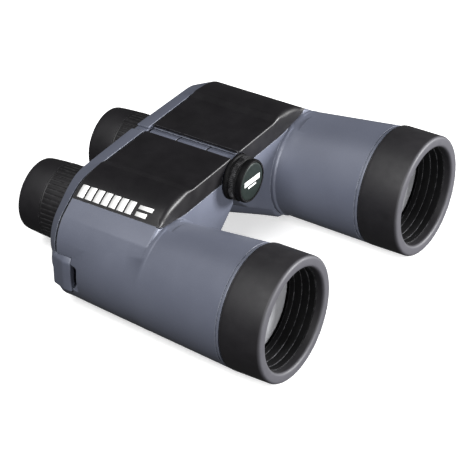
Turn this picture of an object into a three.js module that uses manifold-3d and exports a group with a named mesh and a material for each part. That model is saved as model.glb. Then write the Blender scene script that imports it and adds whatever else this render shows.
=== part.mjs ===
// Porro-prism binoculars with individually focusing eyepieces.
// Millimetres, +Z up, +Y towards the objectives, +X to the user's right.
// The origin is at the middle of the footprint, at the height the binoculars stand on.

import * as THREE from 'three';
import { ConvexGeometry } from 'three/addons/geometries/ConvexGeometry.js';
import { mergeVertices } from 'three/addons/utils/BufferGeometryUtils.js';
import Module from 'manifold-3d';

const wasm = await Module();
wasm.setup();

// ---------------------------------------------------------------- driving dimensions

const GAP = 0.3; // clearance kept between pieces that touch
const WALL = 2.2; // housing wall
const FINE = 32; // sides of the large turned pieces
const PLAIN = 18; // sides of the small ones

const OBJECTIVE = { x: 64, z: 32 };
const EYEPIECE = { x: 30.5, z: 27.2 };
const HINGE_Z = 54;

// stations along the optical axis
const SEAM_Y = -37; // housing meets the rear cover
const COVER_FRONT_Y = -38.1; // front edge of the rear cover
const COVER_BACK_Y = -45; // its rear face
const WALL_Y = 14.2; // front wall of the housing
const RING_Y = 66; // grey tube meets the rubber ring
const END_Y = 89.2; // front of the objectives
const EYECUP_Y = -86.8; // back of the eyecups

// the objective tube tapers towards the housing and leans in with it
const TUBE = {
  back: { y: -20, x: 60.7, z: 28.4, r: 25.6 },
  front: { y: RING_Y, x: 64, z: 31.6, r: 31.5 },
};
const FLANGE = { depth: 4.2, extra: 1.4 }; // the step where the tube leaves the front wall
const NECK = { outer: 29.4, inner: 27.9, end: 83.8 }; // the tube's thinner front end

const HINGE = {
  knuckleR: 10.4,
  clearR: 10.8,
  wallR: 13, // the housing's inner wall round the knuckles
  boreR: 6.3,
  axleR: 6,
  rearKnuckleEnd: -21,
  frontKnuckleStart: -1.5,
  washer: 0.8,
};
const EAR = { inner: 9.4, outer: 10.6, clear: 10.9, passR: 12.4 }; // rear cover round the hinge

const OCULAR = {
  ringR: 19.8,
  ribR: 20.3,
  ribs: 36,
  ringBore: 18.9,
  recessR: 20.8,
  bossR: 22.7,
  hubR: 19.6,
  floorY: -39.6,
  skirtY: -43.6,
  backY: -72.3,
  sleeveR: 17.2,
  sleeveBore: 15.6,
  barrelR: 15.3,
  lensR: 12.3,
};

const CAP = { back: 14.5, front: 24.5, flangeR: 12, faceR: 10.9, bossFront: 19 };

// the folded light path: two equal shifts at right angles join the two axes
const ALONG_A = [-0.8, 0.6];
const ALONG_B = [-0.6, -0.8];
const PRISM_A = { x: 54.4, z: 39.2, along: ALONG_A, across: [0.6, 0.8] };
const PRISM_B = { x: 37.7, z: 36.8, along: ALONG_B, across: [0.8, -0.6] };
const PRISM = { half: 21.5, width: 9, plateBack: -13, plateFront: -11, rear: -33.8, front: 8.6 };

// inner edges beside the hinge differ, so the halves fold together by 10 and apart by 30 degrees
const SIDES = {
  right: { sign: 1, coverEdge: 3.4, rearEdge: 3.4, lowEdge: 1.2 },
  left: { sign: -1, coverEdge: 4.2, rearEdge: 0.5, lowEdge: 2.2 },
};

// ---------------------------------------------------------------- solids from geometry

function closedMesh(geometry) {
  const bare = geometry.clone();
  for (const name of Object.keys(bare.attributes)) {
    if (name !== 'position') bare.deleteAttribute(name);
  }
  const merged = mergeVertices(bare, 1e-4);
  const p = merged.attributes.position;
  const source = merged.index.array;
  const [a, b, c] = [new THREE.Vector3(), new THREE.Vector3(), new THREE.Vector3()];
  const triangles = [];
  let volume = 0;
  for (let i = 0; i < source.length; i += 3) {
    const [u, v, w] = source.slice(i, i + 3);
    if (u === v || v === w || w === u) continue;
    triangles.push(u, v, w);
    a.fromBufferAttribute(p, u);
    b.fromBufferAttribute(p, v);
    c.fromBufferAttribute(p, w);
    volume += a.dot(b.cross(c));
  }
  if (volume < 0) triangles.reverse();
  return { vertices: new Float32Array(p.array), triangles: new Uint32Array(triangles) };
}

function solid(geometry) {
  const { vertices, triangles } = closedMesh(geometry);
  const mesh = new wasm.Mesh({ numProp: 3, vertProperties: vertices, triVerts: triangles });
  return new wasm.Manifold(mesh);
}

function geometryOf(manifold) {
  const m = manifold.getMesh();
  const g = new THREE.BufferGeometry();
  g.setAttribute('position', new THREE.BufferAttribute(new Float32Array(m.vertProperties), 3));
  g.setIndex(new THREE.BufferAttribute(new Uint32Array(m.triVerts), 1));
  return g;
}

function mirrored(geometry) {
  const { vertices, triangles } = closedMesh(geometry.clone().scale(-1, 1, 1));
  const g = new THREE.BufferGeometry();
  g.setAttribute('position', new THREE.BufferAttribute(vertices, 3));
  g.setIndex(new THREE.BufferAttribute(triangles, 1));
  return g;
}

const join = (...parts) => parts.reduce((whole, part) => whole.add(part));
const cut = (body, ...tools) => tools.reduce((whole, tool) => whole.subtract(tool), body);

// a turned piece: the profile is a list of [radius, y] and the axis runs along +Y
function turned(profile, sides = PLAIN, x = 0, z = 0) {
  const points = profile.map(([r, y]) => new THREE.Vector2(r, y));
  return solid(new THREE.LatheGeometry(points, sides).translate(x, 0, z));
}

function disc(r, y0, y1, sides = PLAIN, x = 0, z = 0) {
  return turned([[0, y0], [r, y0], [r, y1], [0, y1]], sides, x, z);
}

function ring(inner, outer, y0, y1, sides = PLAIN, x = 0, z = 0) {
  const profile = [[inner, y0], [outer, y0], [outer, y1], [inner, y1], [inner, y0]];
  return turned(profile, sides, x, z);
}

function block([x0, x1], [y0, y1], [z0, z1]) {
  const g = new THREE.BoxGeometry(x1 - x0, y1 - y0, z1 - z0);
  return solid(g.translate((x0 + x1) / 2, (y0 + y1) / 2, (z0 + z1) / 2));
}

// the convex body that spans flat outlines, each { y, points: [[x, z], ...] }
function spanned(...sections) {
  const points = sections.flatMap(({ y, points: outline }) =>
    outline.map(([x, z]) => new THREE.Vector3(x, y, z)),
  );
  return solid(new ConvexGeometry(points));
}

// a plate with the outline [[x, z], ...] and its thickness along Y
function plate(outline, y0, y1) {
  const shape = new THREE.Shape(outline.map(([x, z]) => new THREE.Vector2(x, z)));
  const g = new THREE.ExtrudeGeometry(shape, { depth: y1 - y0, bevelEnabled: false });
  return solid(g.rotateX(Math.PI / 2).translate(0, y1, 0));
}

function arc(x, z, r, from, to, count) {
  return Array.from({ length: count }, (_, i) => {
    const a = THREE.MathUtils.degToRad(from + ((to - from) * i) / (count - 1));
    return [x + r * Math.cos(a), z + r * Math.sin(a)];
  });
}

// ---------------------------------------------------------------- housing outlines, right half

const TOP_Z = 66;
const TOP_CORNER = [[51.3, 66], [59.8, 64.4], [66.8, 59.9]];

function insetTop(inset) {
  return TOP_CORNER.map(([x, z]) => [x - inset * 0.6, z - inset]);
}

function seamOutline(edge, lowEdge, inset = 0) {
  return [
    [edge + inset, TOP_Z - inset],
    ...insetTop(inset),
    ...arc(60.5, 38.5, 21.3 - inset, 50, -15, 7),
    ...arc(58.5, 24.8, 23.4 - inset, 5, -90, 8),
    ...arc(EYEPIECE.x, EYEPIECE.z, OCULAR.bossR - inset, -95, -175, 8),
    [lowEdge + inset, 38 + inset],
  ];
}

// at the front wall the underside rises towards the hinge
function wallOutline(edge, lowEdge, inset = 0) {
  return [
    [edge + inset, TOP_Z - inset],
    ...insetTop(inset),
    ...arc(61, 37.5, 22.2 - inset, 48, -15, 7),
    ...arc(59.8, 27.2, 25.8 - inset, 0, -90, 8),
    ...arc(62, 29.6, 30.5 - inset, -130, -150, 3),
    [13 + inset * 0.5, 28 + inset],
    [lowEdge + inset, 38 + inset],
  ];
}

// the rear face of the end cover, drawn in and rounded towards the outside
function rearOutline(edge, lowEdge, inset = 0) {
  return [
    [edge + inset, 65.6 - inset],
    [40, 65.6 - inset],
    [49 - inset * 0.4, 63.8 - inset],
    [58.3 - inset * 0.6, 60.5 - inset],
    ...arc(55.5, 36.5, 20.6 - inset, 55, -15, 6),
    ...arc(54.5, 27, 21.6 - inset, 0, -90, 7),
    ...arc(EYEPIECE.x, EYEPIECE.z, 22.2 - inset, -95, -175, 8),
    [lowEdge + inset, 39 + inset],
  ];
}

function circleSection({ x, z, r, y }, grow = 0) {
  return { y, points: arc(x, z, r + grow, 0, 360 - 360 / FINE, FINE) };
}

function tubeAt(y) {
  const t = (y - TUBE.back.y) / (TUBE.front.y - TUBE.back.y);
  const mix = (key) => THREE.MathUtils.lerp(TUBE.back[key], TUBE.front[key], t);
  return { y, x: mix('x'), z: mix('z'), r: mix('r') };
}

// the flange grows towards the hinge and stays flush on the outer, lower side
function flangeAt(y) {
  const { x, z, r } = tubeAt(y);
  return { y, x: x - FLANGE.extra * 0.82, z: z + FLANGE.extra * 0.57, r: r + FLANGE.extra };
}

// the space that the moulded cover fills: above this line the grey housing is cut away
const POCKET = [[-9, 64.2], [50.6, 64.2], [58.8, 62.8], [65.6, 58.6], [67.2, 60.6], [75, 75], [-9, 75]];

// ---------------------------------------------------------------- strap lug

const LUG = {
  slotX: [76.4, 80.8],
  slotZ: [18.6, 33.4],
  armZ: [16.6, 36.2],
  front: -28,
  pocketFront: -24.5,
  bossX: 74.2,
  bossZ: [16, 36],
};

function lugArm() {
  const [z0, z1] = LUG.armZ;
  const section = (y, inner, outer) => ({
    y,
    points: [[inner, z0], [outer, z0 + 0.8], [outer, z1 - 2.4], [outer - 2, z1], [inner, z1]],
  });
  const arm = spanned(
    section(LUG.front, 78, 84),
    section(-32.5, 76, 84),
    section(-40.2, 72, 81.4),
    section(-43.6, 70, 76.8),
  );
  return cut(arm, block([60, LUG.slotX[0] + GAP], [COVER_FRONT_Y, 0], [0, 60]));
}

// ---------------------------------------------------------------- housing pieces, right half

function knuckles(side) {
  const step = HINGE.washer + 2 * GAP;
  const back = HINGE.rearKnuckleEnd;
  const front = HINGE.frontKnuckleStart;
  if (side === 'left') return [disc(HINGE.knuckleR, back + step, front - step, FINE, 0, HINGE_Z)];
  return [
    disc(HINGE.knuckleR, SEAM_Y + GAP, back, FINE, 0, HINGE_Z),
    disc(HINGE.knuckleR, front, WALL_Y, FINE, 0, HINGE_Z),
  ];
}

// room for the other half's knuckles and the washers
function knuckleRoom(side) {
  const step = HINGE.washer + 2 * GAP;
  const back = HINGE.rearKnuckleEnd;
  const front = HINGE.frontKnuckleStart;
  if (side === 'right') return [disc(HINGE.clearR, back, front, FINE, 0, HINGE_Z)];
  return [
    disc(HINGE.clearR, SEAM_Y - 1, back + step, FINE, 0, HINGE_Z),
    disc(HINGE.clearR, front - step, WALL_Y + 1, FINE, 0, HINGE_Z),
  ];
}

function housingSpace(side, inset, back, front) {
  const { coverEdge, lowEdge } = SIDES[side];
  return spanned(
    { y: back, points: seamOutline(coverEdge, lowEdge, inset) },
    { y: front, points: wallOutline(coverEdge, lowEdge, inset) },
  );
}

// the same space in the upper front wall, where the cover's brow hangs down
const BROW_ROOM = [[-9, 55.3], [44, 55.3], [57.6, 57.1], [64.8, 58.2], [67.4, 60], [75, 75], [-9, 75]];

function bodyShell(side) {
  const outside = join(
    housingSpace(side, 0, SEAM_Y, WALL_Y),
    spanned(circleSection(TUBE.back), circleSection(TUBE.front)),
    spanned(circleSection(flangeAt(WALL_Y - 1)), circleSection(tubeAt(WALL_Y + FLANGE.depth))),
    disc(NECK.outer, RING_Y - 5, NECK.end, FINE, OBJECTIVE.x, OBJECTIVE.z),
  );
  const hingeColumn = disc(HINGE.wallR, SEAM_Y - 2, WALL_Y + 2, FINE, 0, HINGE_Z);
  const slotBoss = block([LUG.bossX, 90], [SEAM_Y - 2, LUG.pocketFront + 2], LUG.bossZ);
  const inside = cut(
    join(
      cut(housingSpace(side, WALL, SEAM_Y - 1, WALL_Y - WALL - 1.8), plate(POCKET, -50, 50).translate([0, 0, -WALL])),
      spanned(
        circleSection(tubeAt(WALL_Y - 8), -WALL),
        circleSection(tubeAt(RING_Y - 4), -WALL),
      ),
      disc(NECK.inner, RING_Y - 5, END_Y, FINE, OBJECTIVE.x, OBJECTIVE.z),
    ),
    hingeColumn,
    slotBoss,
  );
  const shell = cut(
    outside,
    inside,
    plate(POCKET, SEAM_Y - 1, WALL_Y + 1),
    plate(BROW_ROOM, WALL_Y - 1.8, WALL_Y + 6),
    ...knuckleRoom(side),
    block([LUG.slotX[0], 95], [SEAM_Y - 1, LUG.front + GAP], [LUG.armZ[0] - 0.4, LUG.armZ[1] + GAP]),
    block([LUG.slotX[0], 95], [LUG.front - 1, LUG.pocketFront], LUG.slotZ),
  );
  const bore = disc(HINGE.boreR, SEAM_Y - 1, WALL_Y + 1, PLAIN, 0, HINGE_Z);
  return cut(join(shell, ...knuckles(side)), bore);
}

const BROW = [[44, 55.6], [57.5, 57.4], [64.6, 58.6]];
const BROW_BACK = WALL_Y - 1.5;
const BROW_FRONT = WALL_Y + 0.1;

function topCover(side) {
  const { coverEdge } = SIDES[side];
  const skin = [
    [coverEdge, 64.5],
    [50.8, 64.5],
    [59, 63.1],
    [65.6, 59],
    [66.8, 60.1],
    [59.8, 64.8],
    [51.3, 66.7],
    [42.4, 67.4],
    [36.4, TOP_Z],
    [coverEdge + 0.3, TOP_Z],
  ];
  const brow = [[coverEdge, 55.6], ...BROW, ...skin.slice(4)];
  return cut(
    join(plate(skin, SEAM_Y - 0.2, BROW_FRONT), plate(brow, BROW_BACK, BROW_FRONT)),
    disc(EAR.passR, WALL_Y - 2, END_Y, FINE, 0, HINGE_Z),
  );
}

function rearCover(side) {
  const { rearEdge, lowEdge } = SIDES[side];
  const outside = spanned(
    { y: COVER_FRONT_Y, points: seamOutline(rearEdge, lowEdge) },
    { y: COVER_BACK_Y, points: rearOutline(rearEdge, lowEdge) },
  );
  const hollow = cut(
    spanned(
      { y: COVER_FRONT_Y + 1, points: seamOutline(rearEdge, lowEdge, WALL) },
      { y: COVER_BACK_Y + 2.5, points: rearOutline(rearEdge, lowEdge, WALL) },
    ),
    disc(OCULAR.bossR, -60, 0, FINE, EYEPIECE.x, EYEPIECE.z),
    disc(HINGE.wallR + 1, -60, 0, FINE, 0, HINGE_Z),
    block([LUG.bossX, 90], [-60, 0], LUG.bossZ),
  );
  const { x, z } = EYEPIECE;
  const hub = join(
    ring(OCULAR.sleeveBore, OCULAR.recessR + 0.6, -38.6, COVER_FRONT_Y, FINE, x, z),
    ring(OCULAR.sleeveBore, OCULAR.hubR, -38.4, -36.8, FINE, x, z),
  );
  const recess = join(
    disc(OCULAR.recessR, -60, OCULAR.floorY, FINE, x, z),
    disc(OCULAR.hubR, -60, -38.6, FINE, x, z),
    disc(OCULAR.sleeveBore, -60, 0, FINE, x, z),
  );
  const slot = block(LUG.slotX, [-60, LUG.pocketFront], LUG.slotZ);
  const cover = cut(join(cut(outside, hollow), lugArm()), recess, slot);
  if (side === 'left') {
    return join(cut(cover, disc(EAR.clear, -60, 0, FINE, 0, HINGE_Z)), hub);
  }
  const pass = disc(EAR.passR, -60, 0, FINE, 0, HINGE_Z).intersect(
    block([-20, 6.8], [-60, 0], [62.6, 90]),
  );
  const ear = disc(EAR.outer, COVER_BACK_Y, COVER_FRONT_Y, FINE, 0, HINGE_Z);
  const eye = disc(EAR.inner, -60, 0, FINE, 0, HINGE_Z);
  return join(cut(join(cut(cover, pass), ear), eye), hub);
}

// a closed ring between housing and cover that runs round the lug's slot and the hinge
function rearGasket(side) {
  const { coverEdge, lowEdge } = SIDES[side];
  const [back, front] = [COVER_FRONT_Y + GAP, SEAM_Y - GAP];
  const region = (inset, y0, y1) => cut(
    plate(seamOutline(coverEdge, lowEdge, inset), y0, y1),
    disc(HINGE.clearR + inset, -60, 0, FINE, 0, HINGE_Z),
    block(
      [LUG.slotX[0] - inset, 95],
      [-60, 0],
      [LUG.armZ[0] - inset, LUG.armZ[1] + inset],
    ),
  );
  return cut(region(0.7, back, front), region(2, back - 1, front + 1));
}

// ---------------------------------------------------------------- objective pieces

function objectiveRing() {
  return turned([
    [29.7, RING_Y + GAP],
    [31.6, RING_Y + GAP],
    [32, RING_Y + 1.5],
    [32, END_Y - 1.2],
    [30.8, END_Y],
    [26.9, END_Y],
    [26.1, END_Y - 0.8],
    [26.1, NECK.end + 1.4],
    [29.7, NECK.end + 1.4],
    [29.7, RING_Y + GAP],
  ], FINE);
}

function objectiveSeal() {
  return ring(26.6, 29.4, NECK.end + GAP, NECK.end + 1.1);
}

function objectiveBarrel() {
  return turned([
    [24.6, 56],
    [27.6, 56],
    [27.6, NECK.end],
    [26.5, NECK.end],
    [26.5, 58.3],
    [24.6, 58.3],
    [24.6, 56],
  ]);
}

function objectiveRetainer() {
  const [start, end, steps] = [70.6, NECK.end, 2];
  const pitch = (end - start) / steps;
  const ridges = Array.from({ length: steps }, (_, i) => {
    const y = end - i * pitch;
    return [[25.3, y], [25.3, y - pitch * 0.4], [25.8, y - pitch * 0.4], [25.8, y - pitch * 0.9]];
  }).flat();
  return turned([[25.3, start], [26.2, start], [26.2, end], ...ridges, [25.3, start]]);
}

// a lens between two spherical faces; bulge is positive where the face swells outwards
function lens(r, y0, bulge0, y1, bulge1, steps = 3) {
  const face = (y, bulge) => Array.from({ length: steps + 1 }, (_, i) => {
    const t = i / steps;
    return [r * t, y + bulge * (1 - t * t)];
  });
  return turned([...face(y0, -bulge0), ...face(y1, bulge1).reverse()]);
}

// ---------------------------------------------------------------- prism pieces, right half

// a corner of a prism: u along the hypotenuse, v across it
function onPrism(prism, u, v) {
  const x = prism.x + prism.along[0] * u + prism.across[0] * v;
  const z = prism.z + prism.along[1] * u + prism.across[1] * v;
  return [x, z];
}

function prismSection(prism, y, u, v0, v1 = -v0) {
  return {
    y,
    points: [onPrism(prism, u, v0), onPrism(prism, u, v1), onPrism(prism, -u, v0), onPrism(prism, -u, v1)],
  };
}

function porroPrism(prism, hypotenuse, apex) {
  const flat = PRISM.half - Math.abs(apex - hypotenuse);
  return spanned(
    prismSection(prism, hypotenuse, PRISM.half, PRISM.width),
    prismSection(prism, apex, Math.max(flat, 2.2), PRISM.width),
  );
}

// a spring strap over the prism's blunt edge, with legs down to feet on the plate
function prismClip(prism, foot, apex) {
  const outward = Math.sign(apex - foot);
  const strap = apex + outward * GAP;
  const bar = (y0, y1, v0, v1) => spanned(
    prismSection(prism, y0, 3, v0, v1),
    prismSection(prism, y1, 3, v0, v1),
  );
  const [near, far] = [PRISM.width + 0.4, PRISM.width + 1.2];
  return join(
    bar(strap, strap + outward * 0.8, far, -far),
    bar(foot, strap + outward * 0.8, near, far),
    bar(foot, strap + outward * 0.8, -near, -far),
    bar(foot, foot + outward * 0.8, near, far + 2.5),
    bar(foot, foot + outward * 0.8, -near, -far - 2.5),
  );
}

function prismPlate(side) {
  const slab = block([0, 100], [PRISM.plateBack, PRISM.plateFront], [0, 100]);
  const inner = cut(
    housingSpace(side, WALL + 0.6, SEAM_Y - 1, WALL_Y - WALL - 1.8),
    plate(POCKET, -50, 50).translate([0, 0, -WALL - 0.6]),
    disc(HINGE.wallR + 0.5, -60, 60, FINE, 0, HINGE_Z),
  );
  const port = (r, x, z) => disc(r, -60, 60, PLAIN, x, z);
  return cut(
    inner.intersect(slab),
    port(11, OBJECTIVE.x, OBJECTIVE.z),
    port(8.5, 44.9, 46.3),
    port(8.5, EYEPIECE.x, EYEPIECE.z),
  );
}

// ---------------------------------------------------------------- eyepiece pieces

function ocularSleeve() {
  return turned([
    [OCULAR.sleeveBore, -64],
    [OCULAR.sleeveR, -64],
    [OCULAR.sleeveR, -41],
    [18.6, -41],
    [18.6, -38.9],
    [OCULAR.sleeveBore, -38.9],
    [OCULAR.sleeveBore, -64],
  ], FINE);
}

function ocularBarrel() {
  const seat = OCULAR.lensR + GAP;
  return turned([
    [seat, -78],
    [OCULAR.barrelR, -78],
    [OCULAR.barrelR, -43],
    [seat, -43],
    [seat, -50.3],
    [11.4, -50.3],
    [11.4, -70.7],
    [seat, -70.7],
    [seat, -78],
  ]);
}

function focusRing() {
  const { ringR, ribR, ribs, ringBore, skirtY, backY } = OCULAR;
  const pitch = 360 / ribs;
  const outline = Array.from({ length: ribs }, (_, i) => [
    ...arc(0, 0, ribR, i * pitch, (i + 0.35) * pitch, 2),
    ...arc(0, 0, ringR, (i + 0.5) * pitch, (i + 0.85) * pitch, 2),
  ]).flat();
  return cut(
    join(plate(outline, backY + 1.5, -46.5), disc(20, backY, skirtY, FINE)),
    disc(ringBore, backY + 2.4, 0, FINE),
    disc(OCULAR.barrelR + GAP, -100, 0, FINE),
  );
}

function eyecup() {
  const back = EYECUP_Y;
  return turned([
    [OCULAR.barrelR + GAP, -78],
    [17.2, -78.4],
    [17.2, back + 3.5],
    [16.4, back + 0.6],
    [17.2, back],
    [18.2, back + 0.4],
    [19, back + 1.6],
    [19.35, back + 3.6],
    [19.8, back + 10],
    [20.1, OCULAR.backY - GAP],
    [OCULAR.barrelR + GAP, OCULAR.backY - GAP],
    [OCULAR.barrelR + GAP, -78],
  ], FINE);
}

// ---------------------------------------------------------------- hinge and socket pieces

function socketCap() {
  const { back, front, flangeR, faceR, bossFront } = CAP;
  return turned([
    [0, bossFront + 0.6],
    [HINGE.boreR, bossFront + 0.6],
    [HINGE.boreR, back + 2.2],
    [8.4, back + 2.2],
    [8.4, back],
    [flangeR, back],
    [flangeR, back + 1.6],
    [11, back + 2.2],
    [11.5, back + 3],
    [11.5, back + 6],
    [10.8, back + 6.6],
    [10.8, back + 7.4],
    [11.2, back + 8],
    [11.2, front - 1.2],
    [faceR, front],
    [10.1, front],
    [10.1, front - 0.8],
    [0, front - 0.8],
  ], 24);
}

function tripodSocket() {
  return turned([
    [0, 2.3],
    [HINGE.axleR, 2.3],
    [HINGE.axleR, CAP.bossFront],
    [3.2, CAP.bossFront],
    [3.2, 9],
    [0, 9],
  ]);
}

// ---------------------------------------------------------------- materials

const paint = (color, roughness, metalness) =>
  new THREE.MeshStandardMaterial({ color, roughness, metalness });

const GREY = paint(0x676c7a, 0.45, 0.25);
const BLACK = paint(0x2b2a2e, 0.5, 0);
const RUBBER = paint(0x2a282b, 0.7, 0);
const ANODISED = paint(0x17171a, 0.6, 0.4);
const GLASS = paint(0xb8c4c8, 0.05, 0);
const STEEL = paint(0x8d9094, 0.35, 0.9);
const ALUMINIUM = paint(0x9a9c9e, 0.4, 0.8);
const SEAL = paint(0x1c1b1c, 0.8, 0);
const DISC = paint(0x55605a, 0.4, 0.3);

// ---------------------------------------------------------------- assembly

const group = new THREE.Group();
group.position.y = -(END_Y + EYECUP_Y) / 2; // puts the origin midway between the two ends

function place(parent, name, body, material, position = [0, 0, 0]) {
  const geometry = body.isBufferGeometry ? body : geometryOf(body);
  const mesh = new THREE.Mesh(geometry, material);
  mesh.name = name;
  mesh.position.set(...position);
  parent.add(mesh);
}

function half(side) {
  const { sign } = SIDES[side];
  const own = (body) => (sign > 0 ? geometryOf(body) : mirrored(geometryOf(body)));
  const named = (piece) => `${side}_${piece}`;

  const housing = new THREE.Group();
  place(housing, named('body_shell'), own(bodyShell(side)), GREY);
  place(housing, named('top_cover'), own(topCover(side)), BLACK);
  place(housing, named('rear_cover'), own(rearCover(side)), GREY);
  place(housing, named('rear_gasket'), own(rearGasket(side)), SEAL);
  place(housing, named('prism_plate'), own(prismPlate(side)), ALUMINIUM);
  const [back, front] = [PRISM.plateBack - GAP, PRISM.plateFront + GAP];
  place(housing, named('prism_rear'), own(porroPrism(PRISM_A, back, PRISM.rear)), GLASS);
  place(housing, named('prism_front'), own(porroPrism(PRISM_B, front, PRISM.front)), GLASS);
  place(housing, named('prism_clip_rear'), own(prismClip(PRISM_A, back, PRISM.rear)), STEEL);
  place(housing, named('prism_clip_front'), own(prismClip(PRISM_B, front, PRISM.front)), STEEL);

  const objective = new THREE.Group();
  objective.position.set(sign * OBJECTIVE.x, 0, OBJECTIVE.z);
  place(objective, named('objective_ring'), objectiveRing(), RUBBER);
  place(objective, named('objective_seal'), objectiveSeal(), SEAL);
  place(objective, named('objective_barrel'), objectiveBarrel(), ANODISED);
  place(objective, named('objective_retainer'), objectiveRetainer(), ANODISED);
  place(objective, named('objective_crown_lens'), lens(26.2, 65, 1.8, 68.5, 1.4), GLASS);
  place(objective, named('objective_flint_lens'), lens(26.2, 58.6, 0.2, 64.7, -1.8), GLASS);

  const ocular = new THREE.Group();
  ocular.position.set(sign * EYEPIECE.x, 0, EYEPIECE.z);
  place(ocular, named('ocular_sleeve'), ocularSleeve(), ALUMINIUM);
  place(ocular, named('ocular_seal'), ring(17.5, 18.6, -60, -58), SEAL);
  place(ocular, named('ocular_barrel'), ocularBarrel(), ANODISED);
  place(ocular, named('field_lens'), lens(OCULAR.lensR, -49.5, 1.2, -46, 1.6), GLASS);
  place(ocular, named('eye_lens'), lens(OCULAR.lensR, -75.5, 1.6, -72, 1.2), GLASS);
  place(ocular, named('focus_ring'), focusRing(), BLACK);
  place(ocular, named('eyecup'), eyecup(), RUBBER);

  group.add(housing, objective, ocular);
}

half('right');
half('left');

const hinge = new THREE.Group();
hinge.position.set(0, 0, HINGE_Z);
const washer = [HINGE.boreR + 0.2, HINGE.knuckleR - 0.2];
place(hinge, 'hinge_axle', disc(HINGE.axleR, -41, 2), STEEL);
place(hinge, 'hinge_washer_rear', ring(...washer, -20.7, -19.9), STEEL);
place(hinge, 'hinge_washer_front', ring(...washer, -2.6, -1.8), STEEL);
place(hinge, 'hinge_nut', ring(HINGE.boreR, 8.6, -40.7, -37.1), STEEL);
place(hinge, 'hinge_rear_cap', disc(9.1, COVER_BACK_Y, -41.3), BLACK);
place(hinge, 'tripod_socket', tripodSocket(), STEEL);
place(hinge, 'socket_cap', socketCap(), BLACK);
place(hinge, 'socket_cap_disc', disc(9.8, CAP.front - 0.5, CAP.front - 0.1, FINE), DISC);
place(hinge, 'socket_cap_seal', ring(6.4, 8, CAP.back + 0.3, CAP.back + 1.8), SEAL);
group.add(hinge);

export default group;
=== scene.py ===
"""Porro-prism binoculars with separate focusing, on a pale floor.

Shapes are drawn in millimetres. Stations along the optical axes are counted from a datum
near the middle of the housing, and each finished piece is moved to its place in the frame.
"""

import math

import bmesh
import bpy
from mathutils import Matrix, Vector


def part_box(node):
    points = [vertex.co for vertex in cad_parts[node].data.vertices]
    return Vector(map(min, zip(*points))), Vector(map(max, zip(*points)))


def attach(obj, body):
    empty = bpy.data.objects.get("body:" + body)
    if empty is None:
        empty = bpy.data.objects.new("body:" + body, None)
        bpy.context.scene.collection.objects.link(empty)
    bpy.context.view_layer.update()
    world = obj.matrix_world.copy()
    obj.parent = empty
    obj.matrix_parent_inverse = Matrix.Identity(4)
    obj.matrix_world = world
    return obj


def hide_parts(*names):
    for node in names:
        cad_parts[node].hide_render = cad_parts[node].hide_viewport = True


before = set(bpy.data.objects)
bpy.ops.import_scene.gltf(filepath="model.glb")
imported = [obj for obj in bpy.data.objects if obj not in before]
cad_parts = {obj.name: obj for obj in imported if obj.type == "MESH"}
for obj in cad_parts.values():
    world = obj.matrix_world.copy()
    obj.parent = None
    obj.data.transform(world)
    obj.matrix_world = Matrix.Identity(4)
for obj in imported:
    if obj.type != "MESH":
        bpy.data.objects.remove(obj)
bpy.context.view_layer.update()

MM = 0.001


def middle(node, axis):
    low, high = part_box(node)
    return (low[axis] + high[axis]) / 2 / MM


# ---------------------------------------------------------------- driving places and sizes

RING_FRONT = 89.2
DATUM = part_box("right_objective_ring")[1][1] / MM - RING_FRONT
OBJECTIVE = (middle("right_objective_ring", 0), middle("right_objective_ring", 2))
EYEPIECE = (middle("right_eyecup", 0), middle("right_eyecup", 2))
HINGE = (0.0, middle("hinge_axle", 2))

WALL = 2.2  # housing wall
SEAM_Y = -37.0  # housing meets the rear cover
COVER_FRONT_Y = -38.1  # rear cover, front and back
COVER_BACK_Y = -45.0
WALL_Y = 14.2  # front wall of the housing
RING_Y = 66.0  # grey tube meets the rubber ring
NECK_END = 83.8  # front end of the neck inside the rubber ring
EYECUP_Y = -86.8  # back end of the eyecup

TUBE_BACK = {"y": -20.0, "x": 60.7, "z": 28.4, "r": 25.6}
TUBE_FRONT = {"y": RING_Y, "x": 64.0, "z": 31.6, "r": 31.5}
# Stations and depths of the groove and the rounded end behind the rubber ring.
TUBE_END = ((64.1, 0.0), (64.12, 0.45), (64.85, 0.45), (64.87, 0.0), (65.8, 0.0), (65.95, 0.08),
            (RING_Y, 0.5))
FLANGE = 1.1  # how far the flange at the tube's root stands out

KNUCKLE_R = 10.4
NOTCH_R = 10.8  # the housing's hollow beside the knuckles
KNUCKLES = {
    "right": {"rear": (SEAM_Y + 0.3, -20.75), "front": (-1.75, WALL_Y)},
    "left": {"middle": (-19.85, -2.65)},
}
# Radii about the hinge: the right cover's ear, and the room that the covers leave round it.
EAR = {"inner": 9.4, "outer": 10.6, "clear": 10.9, "pass": 12.4}
# Places of the rear cover's screws across the axis.
SCREWS = ((19.5, 60.0), (53.6, 54.6), (68.2, 36.0), (61.5, 12.5))

RING_R = 19.8  # focus ring
RECESS_R = 20.8  # recess in the rear cover, round the focus ring
CAP_BACK, CAP_FRONT = 14.5, 24.5  # socket cap

# Each half's inner edges, as distances from the hinge line across the axis.
SIDES = {
    "right": {"cover": 3.4, "rear": 3.4, "low": 1.2},
    "left": {"cover": 4.2, "rear": 0.5, "low": 2.2},
}

LUG_SLOT_X = (76.4, 80.8)
LUG_SLOT_Z = (18.6, 33.4)
LUG_Z = (16.6, 36.2)

ROUND = 96  # points round a full circle


# ---------------------------------------------------------------- outlines across the axis

def arc(x, z, r, start, end, count):
    turns = [math.radians(start + (end - start) * i / (count - 1)) for i in range(count)]
    return [(x + r * math.cos(a), z + r * math.sin(a)) for a in turns]


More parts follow.
